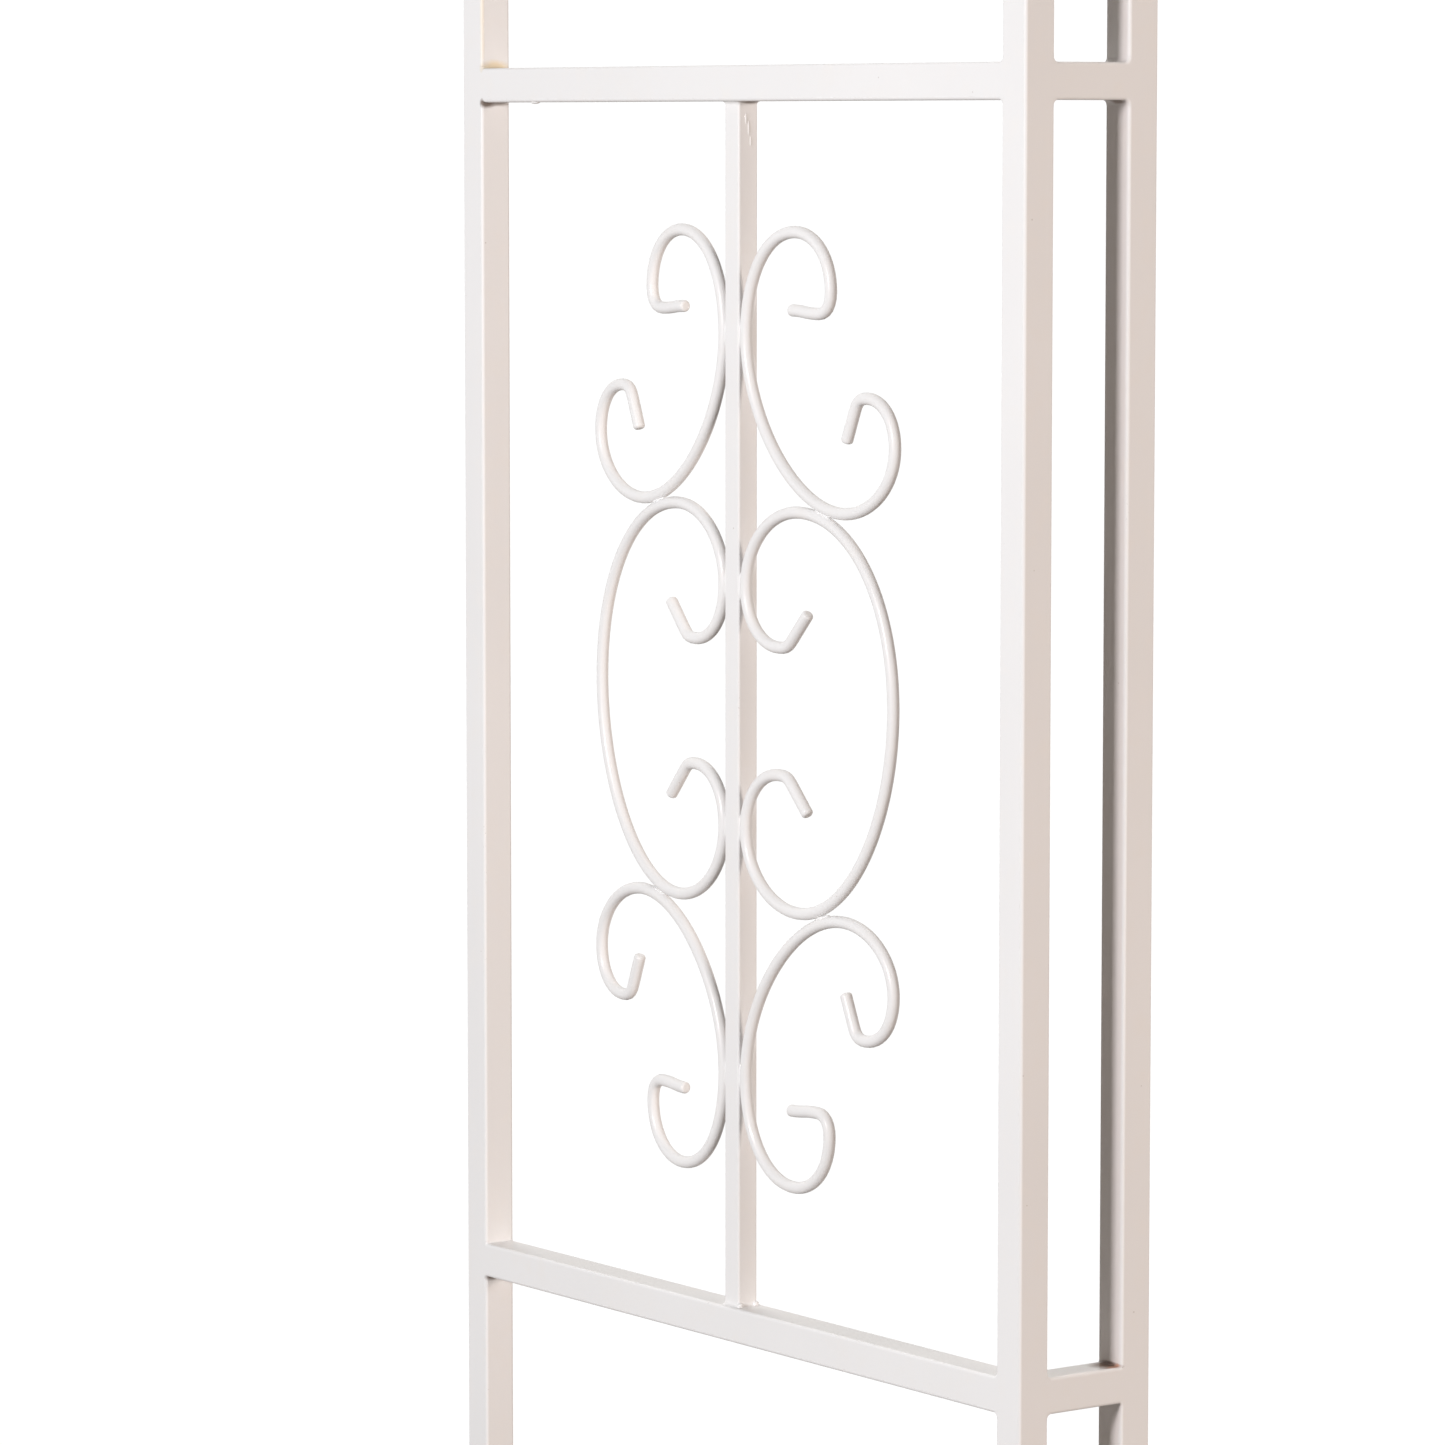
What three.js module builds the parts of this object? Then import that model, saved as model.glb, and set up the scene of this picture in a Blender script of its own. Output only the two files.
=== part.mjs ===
import * as THREE from 'three';

// Metal trellis arch, millimetres, +Z up. X runs across the walk-through, the
// front of the arch faces -Y, and the ground is z = 0.

// Overall
const archWidth = 1320;
const archDepth = 503;
const tube = 19;
const tubeWall = 1.2;
const tubeChamfer = 1.3;
const weldGap = 0.05;
const fitGap = 0.3;

// Legs
const ladderWidth = 86;
const postFoot = 3;
const postTop = 1510;
const bottomRailZ = 264.5;
const railSpacing = 665;
const topRailZ = 1470;

// Arched top
const springZ = 1550;
const archFacets = 35;
const rungAngles = [18, 54, 90, 126, 162];

// Square bars inside the frames
const bar = 12.7;
const barWall = 1;
const barChamfer = 0.9;

// Scrolls: round rod, bent in a plane that touches the bar near its outer face
const rodRadius = 3.25;
const rodSides = 8;
const scrollSetback = 5.65;
const scrollLean = THREE.MathUtils.degToRad(2.5);
const scrollCentreZ = bottomRailZ - tube / 2 + 343.5;

// Spigots joining posts and arches, and caps under the posts
const spigot = 16;
const spigotWall = 1;
const spigotChamfer = 1.3;
const spigotLength = 60;
const capPlug = 16;
const capPlugHeight = 15;

const half = archWidth / 2;
const outerX = half - tube / 2;
const innerX = half - ladderWidth + tube / 2;
const frontY = -(archDepth - tube) / 2;
const rearY = (archDepth - tube) / 2;
const middleRailZ = bottomRailZ + railSpacing;

const group = new THREE.Group();
group.name = 'metal_trellis_arch';

const paint = { color: 0xf1efed, roughness: 0.35, metalness: 0 };
const plated = { color: 0xb9bcc0, roughness: 0.4, metalness: 1 };
const plastic = { color: 0xd9d8d5, roughness: 0.7, metalness: 0 };

function add(name, geometry, finish) {
  const mesh = new THREE.Mesh(geometry, new THREE.MeshStandardMaterial(finish));
  mesh.name = name;
  group.add(mesh);
}

// Square section with eased corners, counter-clockwise.
function squareSection(size, chamfer) {
  const s = size / 2;
  if (chamfer === 0) {
    return [[-s, -s], [s, -s], [s, s], [-s, s]].map(([p, q]) => new THREE.Vector2(p, q));
  }
  const c = s - chamfer;
  return [[-c, -s], [c, -s], [s, -c], [s, c], [c, s], [-c, s], [-s, c], [-s, -c]]
    .map(([p, q]) => new THREE.Vector2(p, q));
}

function roundSection(radius, sides) {
  return Array.from({ length: sides }, (_, i) => {
    const angle = (2 * Math.PI * (i + 0.5)) / sides;
    return new THREE.Vector2(radius * Math.cos(angle), radius * Math.sin(angle));
  });
}

// A section carried through stations. Each station has an origin and the two
// directions its section is drawn along; hole is an optional inner section.
function sweep(stations, outline, hole = []) {
  const loops = hole.length ? [outline, hole] : [outline];
  const ringSize = outline.length + hole.length;
  const positions = [];
  for (const { origin, right, up } of stations) {
    for (const point of loops.flat()) {
      const p = origin.clone().addScaledVector(right, point.x).addScaledVector(up, point.y);
      positions.push(p.x, p.y, p.z);
    }
  }
  const indices = [];
  for (let s = 0; s + 1 < stations.length; s += 1) {
    let start = 0;
    loops.forEach((loop, which) => {
      for (let i = 0; i < loop.length; i += 1) {
        const a = s * ringSize + start + i;
        const b = s * ringSize + start + ((i + 1) % loop.length);
        const c = b + ringSize;
        const d = a + ringSize;
        if (which === 0) {
          indices.push(a, b, c, a, c, d);
        } else {
          indices.push(a, c, b, a, d, c);
        }
      }
      start += loop.length;
    });
  }
  const last = (stations.length - 1) * ringSize;
  const ends = THREE.ShapeUtils.triangulateShape(outline, hole.length ? [hole] : []);
  for (const [a, b, c] of ends) {
    indices.push(a, c, b, last + a, last + b, last + c);
  }
  const geometry = new THREE.BufferGeometry();
  geometry.setAttribute('position', new THREE.Float32BufferAttribute(positions, 3));
  geometry.setIndex(indices);
  geometry.computeVertexNormals();
  return geometry;
}

// Straight square tube between two points; right is one direction of its faces.
function squareTube(from, to, right, size, wall, chamfer) {
  const along = to.clone().sub(from).normalize();
  const up = along.clone().cross(right).normalize();
  const stations = [from, to].map((origin) => ({ origin, right, up }));
  return sweep(stations, squareSection(size, chamfer), squareSection(size - 2 * wall, 0));
}

const xAxis = new THREE.Vector3(1, 0, 0);
const yAxis = new THREE.Vector3(0, 1, 0);

function frameTube(from, to, right) {
  return squareTube(from, to, right, tube, tubeWall, tubeChamfer);
}

// Posts, the caps under them and the spigots at their tops
function footCap(x, y) {
  const flange = squareSection(tube, tubeChamfer);
  const plug = squareSection(capPlug, tubeChamfer);
  const levels = [
    { z: 0, section: flange },
    { z: postFoot - weldGap, section: flange },
    { z: postFoot - weldGap, section: plug },
    { z: capPlugHeight, section: plug },
  ];
  const positions = [];
  for (const { z, section } of levels) {
    for (const p of section) positions.push(x + p.x, y + p.y, z);
  }
  const n = flange.length;
  const indices = [];
  for (let s = 0; s + 1 < levels.length; s += 1) {
    for (let i = 0; i < n; i += 1) {
      const a = s * n + i;
      const b = s * n + ((i + 1) % n);
      indices.push(a, b, b + n, a, b + n, a + n);
    }
  }
  const top = (levels.length - 1) * n;
  for (let i = 1; i + 1 < n; i += 1) {
    indices.push(0, i + 1, i, top, top + i, top + i + 1);
  }
  const geometry = new THREE.BufferGeometry();
  geometry.setAttribute('position', new THREE.Float32BufferAttribute(positions, 3));
  geometry.setIndex(indices);
  geometry.computeVertexNormals();
  return geometry;
}

function post(place, x, y) {
  const low = new THREE.Vector3(x, y, postFoot);
  const high = new THREE.Vector3(x, y, postTop);
  add(`post_${place}`, frameTube(low, high, xAxis), paint);
  add(`foot_cap_${place}`, footCap(x, y), plastic);
  const start = new THREE.Vector3(x, y, postTop - spigotLength / 2);
  const end = new THREE.Vector3(x, y, postTop + spigotLength / 2);
  add(`spigot_${place}`, squareTube(start, end, xAxis, spigot, spigotWall, spigotChamfer), plated);
}

// Scroll centrelines. Each knot is [distance from the bar centre, height above
// the stack centre, heading in degrees, fullness of the stretch leading to it,
// number of steps in that stretch].
const round = 0.55;

const outerScroll = [
  [47.1, 212.2, 0, 0, 0],
  [70.4, 210.8, 0, round, 1],
  [80.3, 222.6, 90, 0.62, 3],
  [50.9, 253.2, 180, 0.57, 5],
  [9.75, 198.7, 270, 0.58, 5],
  [90.4, 107.2, 0, 0.49, 7],
  [132.4, 142.7, 90, round, 5],
  [110, 168, 180, 0.58, 5],
  [100.1, 161.4, 248, round, 3],
  [93.2, 144.4, 248, round, 1],
];

const middleScroll = [
  [62.3, 53.4, 228, 0, 0],
  [50.2, 40, 228, round, 1],
  [37.6, 33.9, 180, round, 3],
  [9.75, 64.8, 90, 0.57, 5],
  [54.3, 106.2, 0, round, 5],
  [131.5, 7, 270, 0.57, 6],
  [54.3, -106.2, 180, 0.53, 7],
  [9.75, -64.8, 90, round, 5],
  [37.6, -33.9, 0, 0.57, 5],
  [50.2, -40, 312, round, 3],
  [62.3, -53.4, 312, round, 1],
];

function smoothStretch(from, to) {
  const start = new THREE.Vector2(from[0], from[1]);
  const end = new THREE.Vector2(to[0], to[1]);
  const chord = end.clone().sub(start);
  const [leave, arrive] = [from, to].map((knot) => {
    const heading = THREE.MathUtils.degToRad(knot[2]);
    return new THREE.Vector2(Math.cos(heading), Math.sin(heading));
  });
  const first = start.clone().addScaledVector(leave, to[3] * Math.abs(chord.dot(leave)));
  const second = end.clone().addScaledVector(arrive, -to[3] * Math.abs(chord.dot(arrive)));
  return new THREE.CubicBezierCurve(start, first, second, end);
}

// The scroll is drawn flat, then stood up beside the bar: reach is +1 towards
// the rear and -1 towards the front, turn is -1 for a scroll upside down.
function scroll(name, side, reach, turn, knots) {
  const barContact = bar / 2 + rodRadius;
  const away = new THREE.Vector3(-side * Math.sin(scrollLean), reach * Math.cos(scrollLean), 0);
  const origin = new THREE.Vector3(side * (half - scrollSetback), reach * barContact, scrollCentreZ);
  const stand = (p) => origin.clone()
    .addScaledVector(away, p.x - barContact)
    .add(new THREE.Vector3(0, 0, turn * p.y));
  const flat = [];
  knots.slice(1).forEach((knot, i) => {
    const curve = smoothStretch(knots[i], knot);
    for (let step = 0; step < knot[4]; step += 1) {
      const t = step / knot[4];
      flat.push({ at: curve.getPoint(t), heading: curve.getTangent(t) });
    }
    if (i === knots.length - 2) {
      flat.push({ at: curve.getPoint(1), heading: curve.getTangent(1) });
    }
  });
  const level = new THREE.Vector3(0, 0, 1);
  const depth = away.clone().cross(level).multiplyScalar(turn);
  const stations = flat.map(({ at, heading }) => {
    const along = away.clone().multiplyScalar(heading.x).addScaledVector(level, turn * heading.y);
    const right = depth.clone();
    return { origin: stand(at), right, up: along.clone().cross(right) };
  });
  add(name, sweep(stations, roundSection(rodRadius, rodSides)), paint);
}

// Wide side frame: rails, centre bar and six scrolls between its two posts
function sideFrame(sideName, side) {
  const x = side * outerX;
  const rails = [['bottom', bottomRailZ], ['middle', middleRailZ], ['top', topRailZ]];
  for (const [level, z] of rails) {
    const from = new THREE.Vector3(x, frontY + tube / 2 + weldGap, z);
    const to = new THREE.Vector3(x, rearY - tube / 2 - weldGap, z);
    add(`side_rail_${sideName}_${level}`, frameTube(from, to, xAxis), paint);
  }
  const low = new THREE.Vector3(x, 0, bottomRailZ + tube / 2 + weldGap);
  const high = new THREE.Vector3(x, 0, middleRailZ - tube / 2 - weldGap);
  add(`centre_bar_${sideName}`, squareTube(low, high, xAxis, bar, barWall, barChamfer), paint);
  for (const [end, reach] of [['front', -1], ['rear', 1]]) {
    scroll(`scroll_${sideName}_${end}_upper`, side, reach, 1, outerScroll);
    scroll(`scroll_${sideName}_${end}_middle`, side, reach, 1, middleScroll);
    scroll(`scroll_${sideName}_${end}_lower`, side, reach, -1, outerScroll);
  }
}

// Narrow ladder at the front of each leg
function frontRungs(sideName, side) {
  const levels = [['bottom', bottomRailZ], ['middle', middleRailZ], ['top', topRailZ]];
  const reach = tube / 2 + weldGap;
  for (const [level, z] of levels) {
    const from = new THREE.Vector3(side * (innerX + reach), frontY, z);
    const to = new THREE.Vector3(side * (outerX - reach), frontY, z);
    add(`rung_${sideName}_${level}`, frameTube(from, to, yAxis), paint);
  }
}

for (const [sideName, side] of [['left', -1], ['right', 1]]) {
  post(`${sideName}_front_outer`, side * outerX, frontY);
  post(`${sideName}_front_inner`, side * innerX, frontY);
  post(`${sideName}_rear`, side * outerX, rearY);
  sideFrame(sideName, side);
  frontRungs(sideName, side);
}

// Half-circle arches with a short straight length at each end
function archTube(radius, y) {
  const path = [new THREE.Vector3(radius, y, postTop + weldGap)];
  for (let i = 0; i <= archFacets; i += 1) {
    const angle = (Math.PI * i) / archFacets;
    path.push(new THREE.Vector3(radius * Math.cos(angle), y, springZ + radius * Math.sin(angle)));
  }
  path.push(new THREE.Vector3(-radius, y, postTop + weldGap));
  const stations = path.map((origin, i) => {
    const before = path[Math.max(i - 1, 0)];
    const after = path[Math.min(i + 1, path.length - 1)];
    const arrive = origin.clone().sub(i ? before : path[0]);
    const leave = after.clone().sub(origin);
    const along = new THREE.Vector3();
    if (i > 0) along.add(arrive.normalize());
    if (i + 1 < path.length) along.add(leave.normalize());
    along.normalize();
    return { origin, right: yAxis, up: along.clone().cross(yAxis) };
  });
  return sweep(stations, squareSection(tube, tubeChamfer), squareSection(tube - 2 * tubeWall, 0));
}

add('arch_front_outer', archTube(outerX, frontY), paint);
add('arch_front_inner', archTube(innerX, frontY), paint);
add('arch_rear', archTube(outerX, rearY), paint);

// Rungs of the front arch and bars from the front arch to the rear one. They
// meet the arches in the middle of a flat facet, hence the facet factor.
const facet = Math.cos(Math.PI / (2 * archFacets));
const rungFrom = (innerX + tube / 2) * facet + fitGap;
const rungTo = (outerX - tube / 2) * facet - fitGap;

rungAngles.forEach((degrees, i) => {
  const angle = Math.PI - THREE.MathUtils.degToRad(degrees);
  const radial = new THREE.Vector3(Math.cos(angle), 0, Math.sin(angle));
  const at = (distance, y) => new THREE.Vector3(0, y, springZ).addScaledVector(radial, distance);
  const rung = frameTube(at(rungFrom, frontY), at(rungTo, frontY), yAxis);
  add(`arch_rung_${i + 1}`, rung, paint);
  const reach = rearY - tube / 2 - weldGap;
  const middle = outerX * facet;
  const crossbar = squareTube(at(middle, -reach), at(middle, reach), radial, bar, barWall, barChamfer);
  add(`crossbar_${i + 1}`, crossbar, paint);
});

export default group;
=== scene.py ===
import math

import bmesh
import bpy
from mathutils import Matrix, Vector, noise


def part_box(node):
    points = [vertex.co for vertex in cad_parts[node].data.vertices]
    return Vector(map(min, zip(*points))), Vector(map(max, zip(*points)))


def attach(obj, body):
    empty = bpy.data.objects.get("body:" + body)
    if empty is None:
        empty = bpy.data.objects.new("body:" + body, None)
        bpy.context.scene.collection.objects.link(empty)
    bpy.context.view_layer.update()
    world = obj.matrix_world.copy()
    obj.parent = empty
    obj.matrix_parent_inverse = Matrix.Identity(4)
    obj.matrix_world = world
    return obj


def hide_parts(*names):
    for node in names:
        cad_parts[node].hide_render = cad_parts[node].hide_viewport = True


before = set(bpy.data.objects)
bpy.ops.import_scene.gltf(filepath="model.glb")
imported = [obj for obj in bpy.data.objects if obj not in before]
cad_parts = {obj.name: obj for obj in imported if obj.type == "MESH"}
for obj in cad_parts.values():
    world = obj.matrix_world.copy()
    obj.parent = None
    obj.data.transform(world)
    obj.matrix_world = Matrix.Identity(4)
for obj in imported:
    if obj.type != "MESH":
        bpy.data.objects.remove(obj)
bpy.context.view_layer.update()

# ---------------------------------------------------------------- dimensions, metres
MM = 0.001
TUBE = 19 * MM
TUBE_WALL = 1.2 * MM
TUBE_RADIUS = 1.7 * MM
BAR = 12.7 * MM
BAR_WALL = 1.0 * MM
BAR_RADIUS = 1.3 * MM
ROD_RADIUS = 3.25 * MM
ROD_END_RADIUS = 1.7 * MM
SCROLL_SETBACK = 5.65 * MM
SCROLL_LEAN = math.radians(2.5)
SCROLL_CENTRE_ABOVE_RAIL = 343.5 * MM
WELD_LEG = 2.8 * MM
REAR_WELD_LEG = 1.0 * MM
BAR_WELD_LEG = 2.1 * MM
TUBE_PROFILE = (TUBE, TUBE_RADIUS, TUBE_WALL)
BAR_PROFILE = (BAR, BAR_RADIUS, BAR_WALL)
FREE_END_EASE = 0.35 * MM
HIDDEN_END_EASE = 0.02 * MM
BAR_BURY = 0.3 * MM
ARCH_FACETS = 35
RUNG_ANGLES = (18, 54, 90, 126, 162)

LEFT_POST_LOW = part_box("post_left_front_outer")[0]
RAIL_LOW, RAIL_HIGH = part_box("side_rail_left_bottom")
MIDDLE_LOW, MIDDLE_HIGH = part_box("side_rail_left_middle")
ARCH_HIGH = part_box("arch_front_outer")[1]
OUTER_X = ARCH_HIGH.x - TUBE / 2
INNER_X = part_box("arch_front_inner")[1].x - TUBE / 2
FRONT_Y = LEFT_POST_LOW.y + TUBE / 2
REAR_Y = -FRONT_Y
FACET = math.cos(math.pi / (2 * ARCH_FACETS))
SPRING_Z = ARCH_HIGH.z - (OUTER_X + TUBE / 2) * FACET
X, Y, Z = Vector((1, 0, 0)), Vector((0, 1, 0)), Vector((0, 0, 1))

# ---------------------------------------------------------------- camera
# Stands in front of and outside the left leg, and looks at its lower half.
CAMERA_FROM_CORNER = Vector((-1.93777, -2.40816, 0))
CAMERA_ABOVE_RAIL = 0.6531
CAMERA_FORWARD = Vector((0.5856, 0.8049, -0.0962))
LENS = 154.31

camera_data = bpy.data.cameras.new("camera")
camera_data.sensor_width = 36
camera_data.lens = LENS
camera_data.clip_end = 100
camera = bpy.data.objects.new("camera", camera_data)
camera.location = Vector((LEFT_POST_LOW.x, LEFT_POST_LOW.y, RAIL_LOW.z)) + CAMERA_FROM_CORNER
camera.location.z += CAMERA_ABOVE_RAIL
camera.rotation_euler = CAMERA_FORWARD.to_track_quat("-Z", "Y").to_euler()
bpy.context.scene.collection.objects.link(camera)
bpy.context.scene.camera = camera

# ---------------------------------------------------------------- colours, linear
WHITE = (0.875, 0.870, 0.866)
DUST = (0.45, 0.40, 0.36)
CHIPPED = (0.40, 0.36, 0.32)
CREAM = (0.80, 0.66, 0.42)
# painted shadow, laid under the rails where they meet the rear post and the centre bar
PAINTED_SHADOW = (0.20, 0.15, 0.12)
# dark brown: a painted reflection of the inner post's shaded side on the bottom rung, and a darker
# patch under the middle rung
DARK_BROWN = (0.20, 0.11, 0.07)
ORANGE = (0.62, 0.27, 0.14)
ZINC = (0.62, 0.63, 0.65)
DULL_ZINC = (0.47, 0.48, 0.50)
PLASTIC = (0.70, 0.69, 0.67)
DIRTY_PLASTIC = (0.45, 0.40, 0.33)


# ---------------------------------------------------------------- materials
class Nodes:
    """A small helper for building node trees."""

    def __init__(self, tree):
        self.tree = tree
        tree.nodes.clear()

    def add(self, kind, **settings):
        node = self.tree.nodes.new(kind)
        for key, value in settings.items():
            if hasattr(node, key):
                setattr(node, key, value)
            else:
                node.inputs[key.replace("_", " ")].default_value = value
        return node

    def link(self, source, target):
        self.tree.links.new(source, target)

    def texture(self, kind, position, scale, **settings):
        node = self.add(kind, **settings)
        node.inputs["Scale"].default_value = scale
        self.link(position, node.inputs["Vector"])
        return node

    def remap(self, source, low, high, to_low, to_high):
        node = self.add("ShaderNodeMapRange", clamp=True)
        limits = {"From Min": low, "From Max": high, "To Min": to_low, "To Max": to_high}
        for socket, value in limits.items():
            node.inputs[socket].default_value = value
        self.link(source, node.inputs["Value"])
        return node.outputs["Result"]

    def math(self, operation, *operands):
        node = self.add("ShaderNodeMath", operation=operation)
        for socket, value in zip(node.inputs, operands):
            if isinstance(value, (int, float)):
                socket.default_value = value
            else:
                self.link(value, socket)
        return node.outputs[0]

    def vector_math(self, operation, source, operand=None):
        node = self.add("ShaderNodeVectorMath", operation=operation)
        self.link(source, node.inputs[0])
        if operand is not None:
            node.inputs[1].default_value = operand
        return node.outputs["Value" if operation == "LENGTH" else "Vector"]

    def mix(self, factor, a, b):
        node = self.add("ShaderNodeMix", data_type="RGBA")
        self.link(factor, node.inputs["Factor"])
        for socket, value in ((node.inputs[6], a), (node.inputs[7], b)):
            if isinstance(value, tuple):
                socket.default_value = (*value, 1)
            else:
                self.link(value, socket)
        return node.outputs[2]

    def mix_shaders(self, factor, a, b):
        node = self.add("ShaderNodeMixShader")
        self.link(factor, node.inputs[0])
        self.link(a.outputs[0], node.inputs[1])
        self.link(b.outputs[0], node.inputs[2])
        return node

    def bump(self, height, strength, distance, below=None):
        node = self.add("ShaderNodeBump")
        node.inputs["Strength"].default_value = strength
        node.inputs["Distance"].default_value = distance
        self.link(height, node.inputs["Height"])
        if below is not None:
            self.link(below, node.inputs["Normal"])
        return node.outputs["Normal"]

    def finish(self, shader, output="ShaderNodeOutputMaterial"):
        self.link(shader.outputs[0], self.add(output).inputs["Surface"])


def new_material(name):
    material = bpy.data.materials.new(name)
    material.use_nodes = True
    return material, Nodes(material.node_tree)


def finish_material(nodes, color, roughness, normal, **constants):
    surface = nodes.add("ShaderNodeBsdfPrincipled")
    for socket, value in constants.items():
        surface.inputs[socket.replace("_", " ")].default_value = value
    nodes.link(color, surface.inputs["Base Color"])
    nodes.link(roughness, surface.inputs["Roughness"])
    nodes.link(normal, surface.inputs["Normal"])
    nodes.finish(surface)


def paint_material(name, white, stains_and_shade):
    """Glossy powder coat: faint mottling and orange peel, a few dust specks,
    and small nicks on the tube edges. Each patch fills a ragged ellipsoid with its tint: some are
    real stains, others painted shadow and painted reflection."""
    material, n = new_material(name)
    place = n.add("ShaderNodeTexCoord").outputs["Object"]
    mottle = n.texture("ShaderNodeTexNoise", place, 6, Detail=2)
    cloud = n.texture("ShaderNodeTexNoise", place, 75, Detail=3)
    peel = n.texture("ShaderNodeTexNoise", place, 420, Detail=1)
    wave = n.texture("ShaderNodeTexNoise", place, 70, Detail=1)
    dust = n.texture("ShaderNodeTexVoronoi", place, 60)
    nicks = n.texture("ShaderNodeTexNoise", place, 900, Detail=2)
    nicks_here = n.texture("ShaderNodeTexNoise", place, 29, Detail=1)
    edge = n.add("ShaderNodeAttribute", attribute_name="edge").outputs["Fac"]

    darker = tuple(0.975 * c for c in white)
    warmer = (white[0], white[1] * 0.985, white[2] * 0.965)
    color = n.mix(n.remap(mottle.outputs["Fac"], 0.35, 0.65, 0, 1), white, darker)
    color = n.mix(n.remap(cloud.outputs["Fac"], 0.50, 0.75, 0, 0.6), color, warmer)

    # Each entry tints a ragged ellipsoid: real stains, painted shadow and painted reflection alike.
    for point, reach, amount, tint in stains_and_shade:
        away = n.vector_math("SUBTRACT", place, point)
        away = n.vector_math("DIVIDE", away, reach)
        away = n.vector_math("LENGTH", away)
        ragged = n.math("ADD", away, n.remap(cloud.outputs["Fac"], 0.3, 0.7, 0, 0.35))
        color = n.mix(n.remap(ragged, 0.5, 1.0, amount, 0), color, tint)

    speck = n.remap(dust.outputs["Distance"], 0.02, 0.035, 1, 0)
    color = n.mix(n.math("MULTIPLY", speck, 0.45), color, DUST)
    nick = n.remap(nicks.outputs["Fac"], 0.66, 0.69, 0, 1)
    nick = n.math("MULTIPLY", nick, n.remap(nicks_here.outputs["Fac"], 0.64, 0.70, 0, 1))
    nick = n.math("MULTIPLY", nick, edge)
    color = n.mix(n.math("MULTIPLY", nick, 0.6), color, CHIPPED)

    roughness = n.remap(cloud.outputs["Fac"], 0.3, 0.75, 0.30, 0.40)
    dull = n.math("MULTIPLY", n.math("MAXIMUM", nick, speck), 0.3)
    roughness = n.math("ADD", roughness, dull)
    normal = n.bump(wave.outputs["Fac"], 0.25, 0.15 * MM)
    normal = n.bump(peel.outputs["Fac"], 0.22, 0.02 * MM, normal)
    normal = n.bump(n.math("SUBTRACT", speck, nick), 0.5, 0.05 * MM, normal)
    finish_material(
        n, color, roughness, normal,
        Coat_Weight=0.28, Coat_Roughness=0.04, Specular_IOR_Level=0.35,
    )
    return material


def zinc_material():
    material, n = new_material("zinc_plate")
    place = n.add("ShaderNodeTexCoord").outputs["Object"]
    spangle = n.texture("ShaderNodeTexVoronoi", place, 260)
    brush = n.texture("ShaderNodeTexNoise", place, 900, Detail=3)
    color = n.mix(spangle.outputs["Distance"], ZINC, DULL_ZINC)
    roughness = n.remap(brush.outputs["Fac"], 0.3, 0.7, 0.32, 0.52)
    normal = n.bump(brush.outputs["Fac"], 0.3, 0.03 * MM)
    finish_material(n, color, roughness, normal, Metallic=1.0)
    return material


def plastic_material():
    material, n = new_material("foot_plastic")
    place = n.add("ShaderNodeTexCoord").outputs["Object"]
    grain = n.texture("ShaderNodeTexNoise", place, 1400, Detail=3)
    scuff = n.texture("ShaderNodeTexNoise", place, 160, Detail=5)
    dirt = n.remap(scuff.outputs["Fac"], 0.5, 0.7, 0, 0.7)
    color = n.mix(dirt, PLASTIC, DIRTY_PLASTIC)
    roughness = n.remap(scuff.outputs["Fac"], 0.3, 0.7, 0.5, 0.75)
    normal = n.bump(grain.outputs["Fac"], 0.5, 0.06 * MM)
    finish_material(n, color, roughness, normal)
    return material


REAR_FACE = REAR_Y - TUBE / 2
INNER_FACE = -INNER_X - TUBE / 2


def tint_patch(place, offset, reach, amount, tint):
    """A patch of tint: a real stain, painted shadow, or painted reflection. Offset and reach are in
    millimetres.
    """
    return Vector(place) + Vector(offset) * MM, Vector(reach) * MM, amount, tint


STAINS_AND_PAINTED_SHADE = (
    # left rear post: cream stains at the middle rail, then painted shadow under the middle rail and
    # under the bottom one
    tint_patch((-OUTER_X, REAR_FACE, MIDDLE_HIGH.z), (0, 0, 0), (14, 4, 6), 0.75, CREAM),
    tint_patch((-OUTER_X, REAR_FACE, MIDDLE_HIGH.z), (-9, 0, 30), (2.4, 2.4, 42), 0.4, CREAM),
    tint_patch((-OUTER_X, REAR_FACE, MIDDLE_LOW.z), (-7, 0, -0.5), (8, 3, 3.6), 0.9, PAINTED_SHADOW),
    tint_patch((-OUTER_X, REAR_FACE, MIDDLE_LOW.z), (0, 0, -0.5), (14, 3, 2.4), 0.6, PAINTED_SHADOW),
    tint_patch((-OUTER_X, REAR_FACE, RAIL_LOW.z), (-5, 0, -0.5), (8, 4, 3.4), 0.9, PAINTED_SHADOW),
    # top of the left centre bar: painted shadow under the middle rail
    tint_patch((-OUTER_X, -BAR / 2, MIDDLE_LOW.z), (0, -1, -0.2), (9, 5, 1.8), 0.8, PAINTED_SHADOW),
    # left inner post: darker brown under the middle rung; on the bottom rung a painted reflection of
    # the post's shaded side, then orange rust
    tint_patch((INNER_FACE, FRONT_Y, MIDDLE_LOW.z), (-2, -2, -0.5), (6, 7, 2.0), 0.8, DARK_BROWN),
    tint_patch((INNER_FACE, FRONT_Y, RAIL_HIGH.z), (-3, 0, 0.3), (13, 13, 2.1), 0.95, DARK_BROWN),
    tint_patch((INNER_FACE, FRONT_Y, RAIL_HIGH.z), (-3, -6.5, 0.3), (8, 3.2, 1.7), 0.75, ORANGE),
    # right leg
    tint_patch((OUTER_X, FRONT_Y + TUBE / 2, RAIL_HIGH.z), (0, 0, 0), (10, 10, 6), 0.45, CREAM),
)
paint = paint_material("powder_coat", WHITE, STAINS_AND_PAINTED_SHADE)
zinc = zinc_material()
plastic = plastic_material()


def dress(piece, material):
    piece.data.materials.clear()
    piece.data.materials.append(material)


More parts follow.
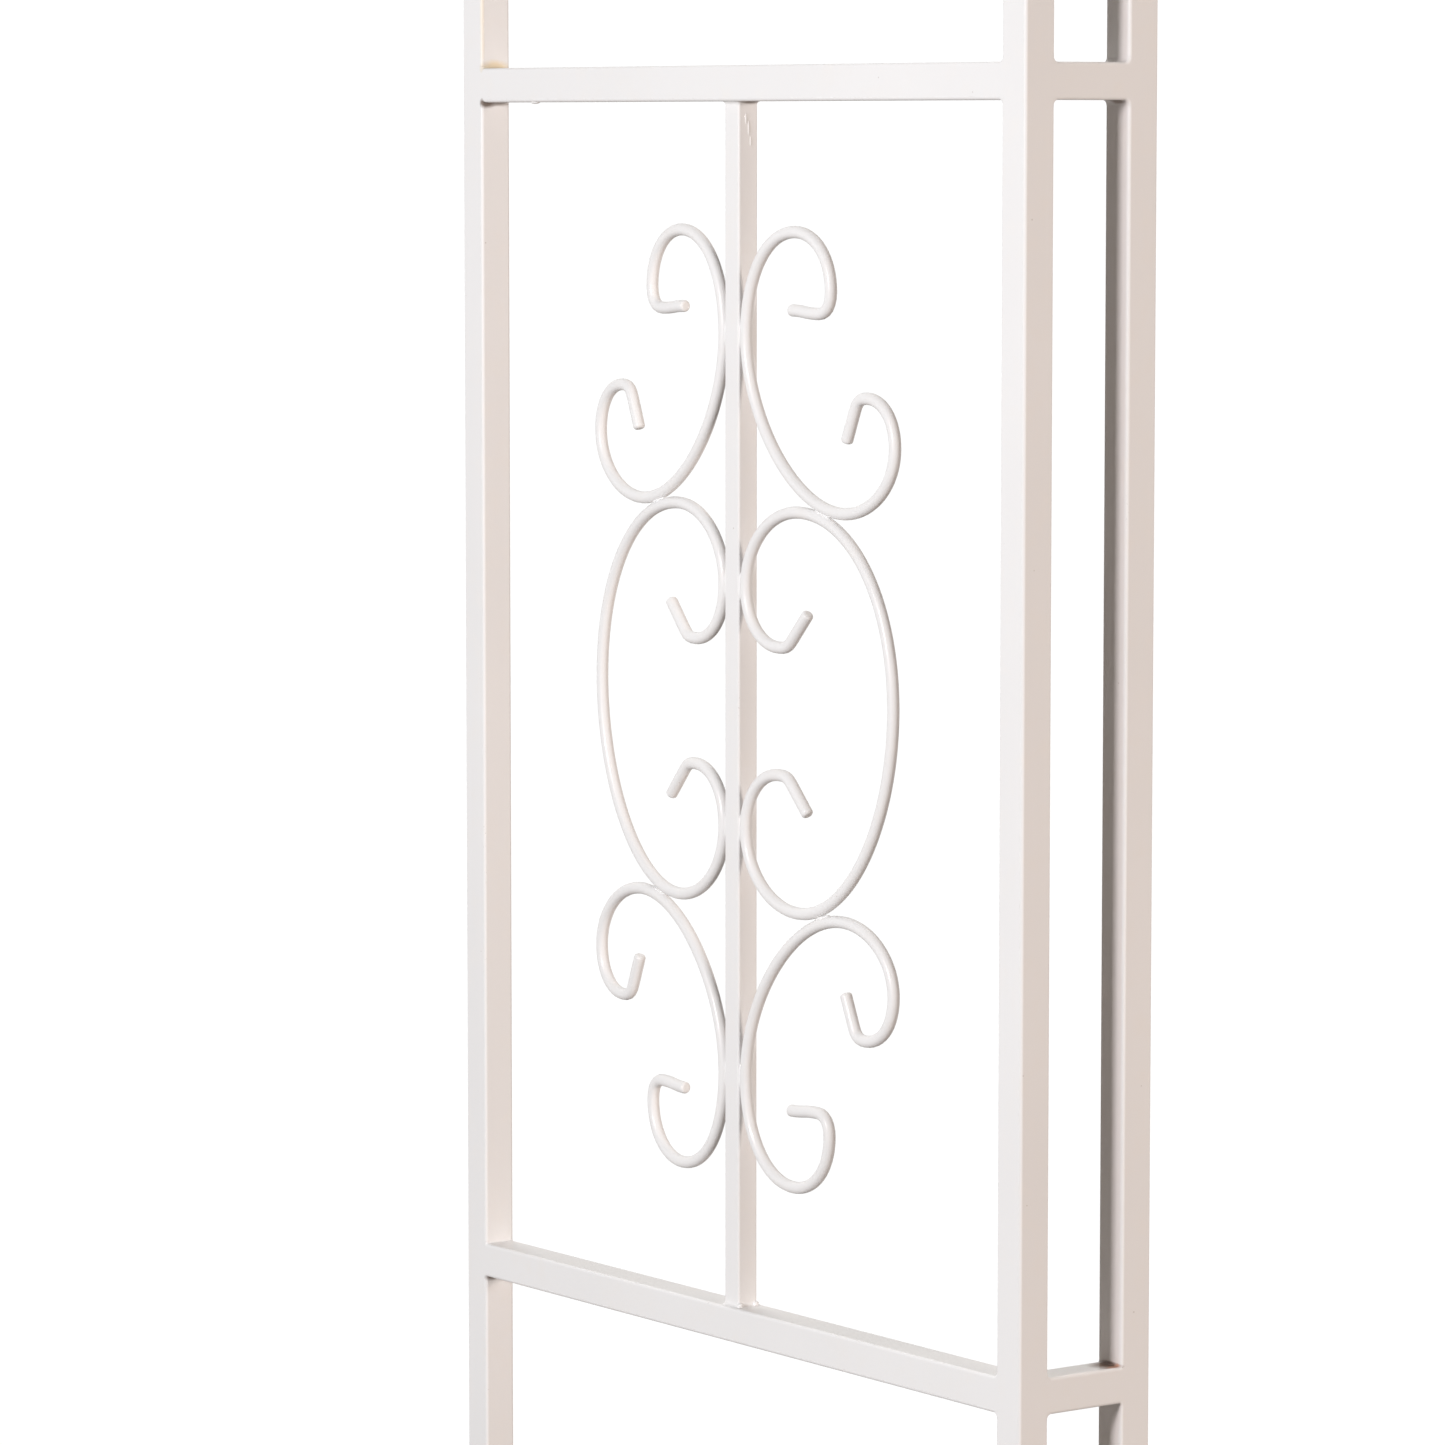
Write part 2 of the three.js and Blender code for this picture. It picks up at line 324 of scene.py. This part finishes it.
# ---------------------------------------------------------------- mesh building
# How quickly the edge value of a tube's points rises round its corners.
EDGE_RISE = 2.4


def rounded_square(size, radius, steps=6):
    """Outline points with their outward normals, counter-clockwise."""
    reach = size / 2 - radius
    outline = []
    for corner, (sx, sy) in enumerate(((1, 1), (-1, 1), (-1, -1), (1, -1))):
        for step in range(steps + 1):
            angle = math.pi / 2 * (corner + step / steps)
            normal = (math.cos(angle), math.sin(angle))
            point = (sx * reach + radius * normal[0], sy * reach + radius * normal[1])
            outline.append((point, normal))
    return outline


def make_piece(name, points, faces, sharp_angle, edge=None, flat_faces=True):
    """edge, one number per point, says where the paint may be nicked."""
    mesh = bpy.data.meshes.new(name)
    mesh.from_pydata([tuple(p) for p in points], [], faces)
    shell = bmesh.new()
    shell.from_mesh(mesh)
    bmesh.ops.recalc_face_normals(shell, faces=shell.faces)
    shell.to_mesh(mesh)
    shell.free()
    if edge is not None:
        layer = mesh.attributes.new("edge", "FLOAT", "POINT")
        layer.data.foreach_set("value", edge)
    mesh.shade_smooth()
    mesh.set_sharp_from_angle(angle=math.radians(sharp_angle))
    piece = bpy.data.objects.new(name, mesh)
    bpy.context.scene.collection.objects.link(piece)
    if flat_faces:
        weighted = piece.modifiers.new("flat_faces", "WEIGHTED_NORMAL")
        weighted.keep_sharp = True
        weighted.weight = 80
    return piece


def stand_for(piece, node, material):
    dress(piece, material)
    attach(piece, "root")
    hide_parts(node)


def loop_faces(start_a, start_b, count, flip=False):
    faces = []
    for i in range(count):
        j = (i + 1) % count
        face = (start_a + i, start_a + j, start_b + j, start_b + i)
        faces.append(face[::-1] if flip else face)
    return faces


def sweep_tube(node, stations, profile):
    """A hollow square tube through stations (origin, right, up, inset)."""
    size, radius, wall = profile
    hole = rounded_square(size - 2 * wall, radius - wall)
    points, faces, edge = [], [], []
    count = len(hole)
    for origin, right, up, inset in stations:
        for (p, q), normal in rounded_square(size - 2 * inset, radius):
            points.append(origin + right * p + up * q)
            edge.append(min(1.0, EDGE_RISE * min(abs(normal[0]), abs(normal[1]))))
        for (p, q), _ in hole:
            points.append(origin + right * p + up * q)
            edge.append(0.0)
    for s in range(len(stations) - 1):
        low, high = 2 * s * count, 2 * (s + 1) * count
        faces += loop_faces(low, high, count)
        faces += loop_faces(low + count, high + count, count, flip=True)
    last = 2 * (len(stations) - 1) * count
    faces += loop_faces(0, count, count, flip=True)
    faces += loop_faces(last, last + count, count)
    piece = make_piece(f"{node}_coated", points, faces, sharp_angle=38, edge=edge)
    stand_for(piece, node, paint)


def straight_tube(node, start, end, right, profile, ease):
    along = (end - start).normalized()
    up = along.cross(right).normalized()
    stations = [
        (start, right, up, ease),
        (start + along * ease, right, up, 0),
        (end - along * ease, right, up, 0),
        (end, right, up, ease),
    ]
    sweep_tube(node, stations, profile)


class Welds:
    """Gathers the weld metal and the paint lumps of one piece into one mesh."""

    ARC_STEPS = 6
    SUNK = 0.02 * MM
    FLUSH_ROOT = 0.5 * MM
    RING_ROOT = 0.3 * MM
    RING_SPACING = 1.2 * MM
    BEAD_RINGS = 9
    BEAD_SIDES = 14
    BEAD_BLUNTNESS = 0.8
    # How uneven the metal is, as a share of its size, and how quickly that varies.
    FLUSH_UNEVEN, FLUSH_GRAIN = 0.13, 160
    RING_UNEVEN, RING_GRAIN = 0.22, 200
    BEAD_UNEVEN, BEAD_GRAIN = 0.10, 1.7

    def __init__(self):
        self.points, self.faces = [], []

    def lay(self, sections, closed):
        """Joins a row of cross-sections, each a loop of points."""
        first, size = len(self.points), len(sections[0])
        for section in sections:
            self.points += section
        total = len(sections)
        for i in range(total if closed else total - 1):
            a, b = first + i * size, first + (i + 1) % total * size
            self.faces += loop_faces(a, b, size)
        if not closed:
            last = first + (total - 1) * size
            self.faces.append(tuple(range(first, first + size))[::-1])
            self.faces.append(tuple(range(last, last + size)))

    def quarter(self):
        """The angles along a quarter turn."""
        return [math.pi / 2 * i / self.ARC_STEPS for i in range(self.ARC_STEPS + 1)]

    def flush(self, centre, out, free, leg, seed):
        """Two fillets, above and below a square tube that meets an equal one
        face to face. Like the tubes, their outer edges are rounded, and the
        ground-flush faces are plane. out points from the joint along the tube,
        and free is the direction in which the met face goes on."""
        across = out.cross(free)
        half, r, sunk = TUBE / 2, TUBE_RADIUS, self.SUNK
        row = [(-1, angle) for angle in self.quarter()]
        row += [(0, i / self.ARC_STEPS) for i in range(1, self.ARC_STEPS)]
        row += [(1, angle) for angle in reversed(self.quarter())]
        for turn in (1, -1):
            sections = []
            for side, value in row:
                if side:
                    place = side * (half - r + (r - sunk) * math.cos(value))
                    drop = r * (1 - math.sin(value))
                else:
                    place, drop = (half - r) * (2 * value - 1), 0
                grain = Vector((place * self.FLUSH_GRAIN, seed, turn))
                here = leg * (1 + self.FLUSH_UNEVEN * noise.noise(grain))
                radius = here + drop
                core = centre + across * place
                section = []
                for angle in self.quarter():
                    up = half + here - radius * math.cos(angle) - sunk
                    along = here - radius * math.sin(angle) - sunk
                    section.append(core + free * turn * up + out * along)
                root = free * turn * (half - r - self.FLUSH_ROOT)
                section.append(core + root - out * (r + self.FLUSH_ROOT))
                sections.append(section if turn == 1 else section[::-1])
            self.lay(sections, closed=False)

    def ring(self, centre, out, right, seed):
        """A fillet all round a bar that stands on a wider face."""
        up = out.cross(right).normalized()
        outline = rounded_square(BAR, BAR_RADIUS, steps=8)
        sections = []
        for i, (point, normal) in enumerate(outline):
            following, next_normal = outline[(i + 1) % len(outline)]
            parts = max(1, round(math.dist(point, following) / self.RING_SPACING))
            for part in range(parts):
                t = part / parts
                pairs = zip((*point, *normal), (*following, *next_normal))
                p, q, normal_p, normal_q = (a + (b - a) * t for a, b in pairs)
                facing = (right * normal_p + up * normal_q).normalized()
                on_tube = centre + right * p + up * q
                grain = on_tube * self.RING_GRAIN + Vector((seed, 0, seed))
                here = BAR_WELD_LEG * (1 + self.RING_UNEVEN * noise.noise(grain))
                section = []
                for angle in self.quarter():
                    rise = here * (1 - math.sin(angle)) - self.SUNK
                    spread = here * (1 - math.cos(angle)) - self.SUNK
                    section.append(on_tube + facing * spread + out * rise)
                section.append(on_tube - facing * self.RING_ROOT - out * self.RING_ROOT)
                sections.append(section)
        self.lay(sections, closed=True)

    def bead(self, centre, along, across, size, seed):
        """A lump of weld metal or paint. size is its length along the one
        direction, its width across and its depth, in millimetres."""
        third = along.cross(across).normalized()
        length, width, depth = (s * MM for s in size)
        rings, sides = self.BEAD_RINGS, self.BEAD_SIDES
        first = len(self.points)
        self.points.append(centre - along * length / 2)
        for ring in range(1, rings):
            angle = math.pi * ring / rings
            for side in range(sides):
                turn = 2 * math.pi * side / sides
                spot = Vector((math.cos(turn), math.sin(turn), ring))
                grain = spot * self.BEAD_GRAIN + Vector((seed, seed, 0))
                swell = 1 + self.BEAD_UNEVEN * noise.noise(grain)
                reach = math.sin(angle) ** self.BEAD_BLUNTNESS * swell
                self.points.append(
                    centre - along * math.cos(angle) * length / 2
                    + across * math.cos(turn) * reach * width / 2
                    + third * math.sin(turn) * reach * depth / 2
                )
        self.points.append(centre + along * length / 2)
        last = len(self.points) - 1
        for side in range(sides):
            following = (side + 1) % sides
            self.faces.append((first, first + 1 + following, first + 1 + side))
            base = last - sides
            self.faces.append((last, base + side, base + following))
        for ring in range(rings - 2):
            low = first + 1 + ring * sides
            self.faces += loop_faces(low, low + sides, sides)

    def build(self, node):
        piece = make_piece(f"weld_{node}", self.points, self.faces, 60, flat_faces=False)
        dress(piece, paint)
        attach(piece, "root")


# ---------------------------------------------------------------- legs
# On the front of a centre bar, in millimetres: place across, distance from the
# bar's end, and length, of the sags in the paint below its top. Then place
# across and length of the lumps of weld metal at its base.
PAINT_SAGS = ((-1.4, 9, 6), (0.3, 14, 8), (1.6, 21, 5))
SAG_WIDTH, SAG_DEPTH = 1.2, 0.5
BASE_LUMPS = ((-5.2, 3.4), (5.0, 3.6))
LUMP_WIDTH, LUMP_DEPTH = 3.0, 2.6
LUMP_PROUD, LUMP_HEIGHT = 0.4, 1.1
# A run of paint under the left middle rail, towards its rear end.
PAINT_RUN_FROM_FACE = 2.5 * MM
PAINT_RUN_Y = 183 * MM
PAINT_RUN_SIZE = (7, 3.6, 1.9)
END_SEED = 3.7


def post(place):
    low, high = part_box(f"post_{place}")
    x, y = (low.x + high.x) / 2, (low.y + high.y) / 2
    start, end = Vector((x, y, low.z)), Vector((x, y, high.z))
    straight_tube(f"post_{place}", start, end, X, TUBE_PROFILE, FREE_END_EASE)


def tube_ends(node, axis):
    low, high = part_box(node)
    middle = (low + high) / 2
    half = (high - low).dot(axis) / 2
    return middle - axis * half, middle + axis * half


def framed_tube(node, axis, seed, start_leg, end_leg):
    """A full-size tube whose ends are welded to flat faces. It is buried a
    little in each neighbour, so that the flush outer faces show no seam."""
    start, end = tube_ends(node, axis)
    bury = axis * TUBE_RADIUS
    right = X if abs(axis.x) < 0.5 else Y
    straight_tube(node, start - bury, end + bury, right, TUBE_PROFILE, HIDDEN_END_EASE)
    welds = Welds()
    welds.flush(start, axis, Z, start_leg, seed)
    welds.flush(end, -axis, Z, end_leg, seed + END_SEED)
    if node == "side_rail_left_middle":
        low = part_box(node)[0]
        run = Vector((low.x + PAINT_RUN_FROM_FACE, PAINT_RUN_Y, low.z))
        welds.bead(run, Y, X, PAINT_RUN_SIZE, seed)
    welds.build(node)


def centre_bar(node, seed):
    start, end = tube_ends(node, Z)
    bury = Z * BAR_BURY
    straight_tube(node, start - bury, end + bury, X, BAR_PROFILE, HIDDEN_END_EASE)
    welds = Welds()
    welds.ring(start, Z, X, seed)
    welds.ring(end, -Z, X, seed + END_SEED)
    front = -BAR / 2 / MM
    for across, drop, length in PAINT_SAGS:
        sag = end + Vector((across, front, -drop)) * MM
        welds.bead(sag, Z, X, (length, SAG_WIDTH, SAG_DEPTH), seed + drop)
    for across, length in BASE_LUMPS:
        lump = start + Vector((across, front - LUMP_PROUD, LUMP_HEIGHT)) * MM
        welds.bead(lump, X, Y, (length, LUMP_WIDTH, LUMP_DEPTH), seed + across)
    welds.build(node)


for place in ("front_outer", "front_inner", "rear"):
    for side in ("left", "right"):
        post(f"{side}_{place}")

seed = 0.0
for side in ("left", "right"):
    for level in ("bottom", "middle", "top"):
        seed += 11.3
        framed_tube(f"side_rail_{side}_{level}", Y, seed, WELD_LEG, REAR_WELD_LEG)
        inner_leg = REAR_WELD_LEG if level == "bottom" else WELD_LEG
        legs = (WELD_LEG, inner_leg) if side == "left" else (inner_leg, WELD_LEG)
        framed_tube(f"rung_{side}_{level}", X, seed + 5.1, *legs)
    centre_bar(f"centre_bar_{side}", seed + 2.9)


# ---------------------------------------------------------------- scrolls
# Each knot: distance from the bar centre and height above the stack centre in
# millimetres, heading in degrees, fullness of the stretch leading to the knot.
ROUND = 0.55
OUTER_SCROLL = (
    (47.1, 212.2, 0, 0),
    (70.4, 210.8, 0, ROUND),
    (80.3, 222.6, 90, 0.62),
    (50.9, 253.2, 180, 0.57),
    (9.75, 198.7, 270, 0.58),
    (90.4, 107.2, 0, 0.49),
    (132.4, 142.7, 90, ROUND),
    (110, 168, 180, 0.58),
    (100.1, 161.4, 248, ROUND),
    (93.2, 144.4, 248, ROUND),
)
MIDDLE_SCROLL = (
    (62.3, 53.4, 228, 0),
    (50.2, 40, 228, ROUND),
    (37.6, 33.9, 180, ROUND),
    (9.75, 64.8, 90, 0.57),
    (54.3, 106.2, 0, ROUND),
    (131.5, 7, 270, 0.57),
    (54.3, -106.2, 180, 0.53),
    (9.75, -64.8, 90, ROUND),
    (37.6, -33.9, 0, 0.57),
    (50.2, -40, 312, ROUND),
    (62.3, -53.4, 312, ROUND),
)
# The points of a centreline are about this far apart, in millimetres.
STEP_LENGTH = 2.6
ROD_SIDES = 20
ROD_END_STEPS = 6
# Where the scrolls touch the bar: distance from its centre, and the heights of
# the knots there. Then the length, width and depth of the beads, all in mm.
CONTACT_FROM_BAR = 6.55
OUTER_CONTACTS = (198.7,)
MIDDLE_CONTACTS = (64.8, -64.8)
BAR_BEAD = (15, 2.0, 4.6)
SCROLL_BEAD = (12, 1.8, 3.7)


def stretch(start, end):
    """Points and headings along the smooth stretch between two knots."""
    p0, p3 = Vector(start[:2]), Vector(end[:2])
    chord = p3 - p0
    headings = map(math.radians, (start[2], end[2]))
    leave, arrive = (Vector((math.cos(a), math.sin(a))) for a in headings)
    p1 = p0 + leave * end[3] * abs(chord.dot(leave))
    p2 = p3 - arrive * end[3] * abs(chord.dot(arrive))
    count = max(4, round(chord.length / STEP_LENGTH))
    samples = []
    for i in range(count + 1):
        t = i / count
        at = p0 * (1 - t) ** 3 + p1 * 3 * t * (1 - t) ** 2 + p2 * 3 * t * t * (1 - t) + p3 * t ** 3
        heading = (p1 - p0) * (1 - t) ** 2 + (p2 - p1) * 2 * t * (1 - t) + (p3 - p2) * t * t
        samples.append((at, heading.normalized()))
    return samples


def centreline(knots):
    samples = []
    for start, end in zip(knots, knots[1:]):
        samples += stretch(start, end)[1 if samples else 0:]
    return samples


def rod_stations(line):
    """Centre, heading and relative thickness along a rod with rounded ends."""
    ends = []
    for step in range(ROD_END_STEPS + 1):
        angle = math.pi / 2 * step / ROD_END_STEPS
        shrink = 1 - ROD_END_RADIUS / ROD_RADIUS * (1 - math.sin(angle))
        ends.append((shrink, ROD_END_RADIUS * (1 - math.cos(angle)) / MM))
    at, heading = line[0]
    stations = [(at + heading * inset, heading, shrink) for shrink, inset in ends]
    stations += [(at, heading, 1.0) for at, heading in line[1:-1]]
    at, heading = line[-1]
    stations += [(at - heading * inset, heading, shrink) for shrink, inset in reversed(ends)]
    return stations


def scroll(node, side, reach, turn, line):
    """Builds one scroll, and returns the function that places its points."""
    contact = BAR / 2 + ROD_RADIUS
    away = Vector((-side * math.sin(SCROLL_LEAN), reach * math.cos(SCROLL_LEAN), 0))
    centre_z = RAIL_LOW.z + SCROLL_CENTRE_ABOVE_RAIL
    origin = Vector((side * (OUTER_X + TUBE / 2 - SCROLL_SETBACK), reach * contact, centre_z))
    right = away.cross(Z) * turn

    def stand(at):
        return origin + away * (at.x * MM - contact) + Z * turn * at.y * MM

    turns = [2 * math.pi * i / ROD_SIDES for i in range(ROD_SIDES)]
    stations = rod_stations(line)
    points, faces = [], []
    for at, heading, shrink in stations:
        along = away * heading.x + Z * turn * heading.y
        up = along.cross(right).normalized()
        for a in turns:
            spoke = right * math.cos(a) + up * math.sin(a)
            points.append(stand(at) + spoke * ROD_RADIUS * shrink)
    for s in range(len(stations) - 1):
        faces += loop_faces(s * ROD_SIDES, (s + 1) * ROD_SIDES, ROD_SIDES)
    last = (len(stations) - 1) * ROD_SIDES
    faces.append(tuple(range(ROD_SIDES))[::-1])
    faces.append(tuple(range(last, last + ROD_SIDES)))
    piece = make_piece(f"{node}_coated", points, faces, sharp_angle=50)
    stand_for(piece, node, paint)
    return stand


def nearest_between(line_a, line_b):
    """The points of two centrelines that are closest to each other."""
    pairs = ((a, b) for a in line_a[::2] for b in line_b[::2])
    return min(pairs, key=lambda pair: (pair[0][0] - pair[1][0]).length_squared)


outer_line, middle_line = centreline(OUTER_SCROLL), centreline(MIDDLE_SCROLL)
touch_a, touch_b = nearest_between(outer_line, middle_line)
TOUCH_AT = (touch_a[0] + touch_b[0]) / 2
TOUCH_HEADING = touch_a[1]

for side_name, side in (("left", -1), ("right", 1)):
    for end_name, reach in (("front", -1), ("rear", 1)):
        for level, turn, line, contacts in (
            ("upper", 1, outer_line, OUTER_CONTACTS),
            ("middle", 1, middle_line, MIDDLE_CONTACTS),
            ("lower", -1, outer_line, OUTER_CONTACTS),
        ):
            seed += 7.9
            node = f"scroll_{side_name}_{end_name}_{level}"
            stand = scroll(node, side, reach, turn, line)
            welds = Welds()
            for height in contacts:
                spot = stand(Vector((CONTACT_FROM_BAR, height)))
                welds.bead(spot, Z, Y, BAR_BEAD, seed)
            if level != "middle":
                away = (stand(Vector((1, 0))) - stand(Vector((0, 0)))).normalized()
                along = (away * TOUCH_HEADING.x + Z * turn * TOUCH_HEADING.y).normalized()
                across = along.cross(X).normalized()
                welds.bead(stand(TOUCH_AT), along, across, SCROLL_BEAD, seed + 1)
            welds.build(node)


# ---------------------------------------------------------------- arched top
ARCH_STEPS = 140


def arch(node, radius, y):
    """A smooth half-round arch on short legs. It is lowered a little towards
    the crown, so that it is no higher than the faceted one that it replaces."""
    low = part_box(node)[0].z
    centre = Vector((0, y, SPRING_Z))
    sink = (1 - FACET) * (radius + TUBE / 2)
    path = [(Vector((radius, y, low)), Z)]
    for i in range(ARCH_STEPS + 1):
        angle = math.pi * i / ARCH_STEPS
        radial = Vector((math.cos(angle), 0, math.sin(angle)))
        tangent = Vector((-math.sin(angle), 0, math.cos(angle)))
        path.append((centre - Z * sink * math.sin(angle) + radial * radius, tangent))
    path.append((Vector((-radius, y, low)), -Z))

    stations = [(origin, Y, tangent.cross(Y), 0) for origin, tangent in path]
    for index, inward in ((0, 1), (-1, -1)):
        origin, tangent = path[index]
        up = tangent.cross(Y)
        stations[index] = (origin + tangent * inward * FREE_END_EASE, Y, up, 0)
        end = (origin, Y, up, FREE_END_EASE)
        stations = [end] + stations if inward == 1 else stations + [end]
    sweep_tube(node, stations, TUBE_PROFILE)


arch("arch_front_outer", OUTER_X, FRONT_Y)
arch("arch_front_inner", INNER_X, FRONT_Y)
arch("arch_rear", OUTER_X, REAR_Y)

CROWN_CENTRE = Vector((0, 0, SPRING_Z))
for number, degrees in enumerate(RUNG_ANGLES, 1):
    seed += 4.3
    angle = math.pi - math.radians(degrees)
    radial = Vector((math.cos(angle), 0, math.sin(angle)))
    tangent = radial.cross(Y)

    node = f"arch_rung_{number}"
    start = CROWN_CENTRE + Y * FRONT_Y + radial * (INNER_X + TUBE / 2) * FACET
    end = CROWN_CENTRE + Y * FRONT_Y + radial * (OUTER_X - TUBE / 2) * FACET
    bury = radial * TUBE_RADIUS
    straight_tube(node, start - bury, end + bury, Y, TUBE_PROFILE, HIDDEN_END_EASE)
    welds = Welds()
    welds.flush(start, radial, tangent, WELD_LEG, seed)
    welds.flush(end, -radial, tangent, WELD_LEG, seed + 1)
    welds.build(node)

    node = f"crossbar_{number}"
    front = CROWN_CENTRE + radial * OUTER_X * FACET + Y * (FRONT_Y + TUBE / 2)
    rear = CROWN_CENTRE + radial * OUTER_X * FACET + Y * (REAR_Y - TUBE / 2)
    straight_tube(node, front, rear, radial, BAR_PROFILE, HIDDEN_END_EASE)
    welds = Welds()
    welds.ring(front, Y, radial, seed + 2)
    welds.ring(rear, -Y, radial, seed + 3)
    welds.build(node)

# ---------------------------------------------------------------- fittings that keep their CAD shape
for name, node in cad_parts.items():
    if name.startswith("spigot"):
        dress(node, zinc)
    elif name.startswith("foot_cap"):
        dress(node, plastic)

# ---------------------------------------------------------------- floor and light
# Floor and world look white to the camera, and dimmer in reflections, and shed
# less light than that on the object. The floor takes shade only near the legs.
GLOSSY_WHITE = 0.60
BACKDROP_GLOW = 1.05
FLOOR_REACH = 40
FLOOR_SHADE = (0.78, 0.81, 0.86, 1)
FLOOR_GLOW = 0.45
FLOOR_BOUNCE = (0.15, 0.12, 0.10, 1)
SHADE_FULL, SHADE_NONE = 0.10, 0.42
AMBIENT = (1.0, 0.76, 0.56, 1)
AMBIENT_GLOW = 0.075
PURE_WHITE = (1, 1, 1, 1)


def choose_by_ray(n, lighting, seen):
    """Shows one shader to the camera and, in part, to reflections. The other
    lights the object."""
    paths = n.add("ShaderNodeLightPath")
    mirrored = n.math("MULTIPLY", paths.outputs["Is Glossy Ray"], GLOSSY_WHITE)
    shown = n.math("MAXIMUM", paths.outputs["Is Camera Ray"], mirrored)
    return n.mix_shaders(shown, lighting, seen)


corners = [(x * FLOOR_REACH, y * FLOOR_REACH, 0) for x, y in ((-1, -1), (1, -1), (1, 1), (-1, 1))]
floor_mesh = bpy.data.meshes.new("floor")
floor_mesh.from_pydata(corners, [], [(0, 1, 2, 3)])
floor = bpy.data.objects.new("floor", floor_mesh)
bpy.context.scene.collection.objects.link(floor)

floor_material, n = new_material("pale_floor")
place = n.add("ShaderNodeSeparateXYZ")
n.link(n.add("ShaderNodeTexCoord").outputs["Object"], place.inputs[0])
along_x = n.math("SUBTRACT", n.math("ABSOLUTE", place.outputs["X"]), (OUTER_X + INNER_X) / 2)
along_y = n.math("SUBTRACT", n.math("ABSOLUTE", place.outputs["Y"]), REAR_Y)
along_y = n.math("MAXIMUM", along_y, 0.0)
squares = n.math("ADD", n.math("MULTIPLY", along_x, along_x), n.math("MULTIPLY", along_y, along_y))
near_leg = n.remap(n.math("SQRT", squares), SHADE_FULL, SHADE_NONE, 1, 0)
lit = n.add("ShaderNodeAddShader")
n.link(n.add("ShaderNodeBsdfDiffuse", Color=FLOOR_SHADE).outputs[0], lit.inputs[0])
dim = n.add("ShaderNodeEmission", Color=PURE_WHITE, Strength=FLOOR_GLOW)
n.link(dim.outputs[0], lit.inputs[1])
white = n.add("ShaderNodeEmission", Color=PURE_WHITE, Strength=BACKDROP_GLOW)
bounce = n.add("ShaderNodeBsdfDiffuse", Color=FLOOR_BOUNCE)
n.finish(choose_by_ray(n, bounce, n.mix_shaders(near_leg, white, lit)))
floor_material.cycles.emission_sampling = "NONE"
floor_mesh.materials.append(floor_material)

world = bpy.data.worlds.new("studio")
world.use_nodes = True
n = Nodes(world.node_tree)
ambient = n.add("ShaderNodeBackground", Color=AMBIENT, Strength=AMBIENT_GLOW)
backdrop = n.add("ShaderNodeBackground", Color=PURE_WHITE, Strength=BACKDROP_GLOW)
n.finish(choose_by_ray(n, ambient, backdrop), "ShaderNodeOutputWorld")
world.cycles.sampling_method = "NONE"
bpy.context.scene.world = world

LEG = Vector((LEFT_POST_LOW.x, FRONT_Y, 0))
LAMPS_AIM = Z * 0.9


def beside_leg(azimuth, distance, height):
    """azimuth is in degrees from -X towards -Y."""
    a = math.radians(azimuth)
    return LEG + Vector((-math.cos(a) * distance, -math.sin(a) * distance, height))


def softbox(name, place, target, size, power, color, mirrored=False):
    data = bpy.data.lights.new(name, "AREA")
    data.shape = "RECTANGLE"
    data.size, data.size_y = size
    data.energy = power
    data.color = color
    lamp = bpy.data.objects.new(name, data)
    lamp.location = place
    lamp.rotation_euler = (target - place).to_track_quat("-Z", "Y").to_euler()
    lamp.visible_camera = False
    lamp.visible_glossy = mirrored
    bpy.context.scene.collection.objects.link(lamp)


# The corner post shades the inner post from the spill. The key lights a strip of it.
softbox(
    "key", beside_leg(8.2, 3.4, 1.4), LEG + LAMPS_AIM,
    (0.38, 0.7), 76, (1.0, 0.915, 0.91), mirrored=True,
)
softbox(
    "key_spill", beside_leg(1.5, 3.4, 1.4), LEG + LAMPS_AIM,
    (0.25, 0.7), 52, (0.80, 0.93, 0.99),
)
softbox(
    "fill", beside_leg(116, 7.0, 1.0), LEG + LAMPS_AIM,
    (2.2, 1.9), 343, (1.0, 0.89, 0.825),
)
softbox(
    "rear", Vector((3.1, 5.4, 8.7)), LAMPS_AIM,
    (6.1, 5.2), 700, (1.0, 0.97, 0.94),
)

bpy.context.scene.view_settings.view_transform = "Standard"
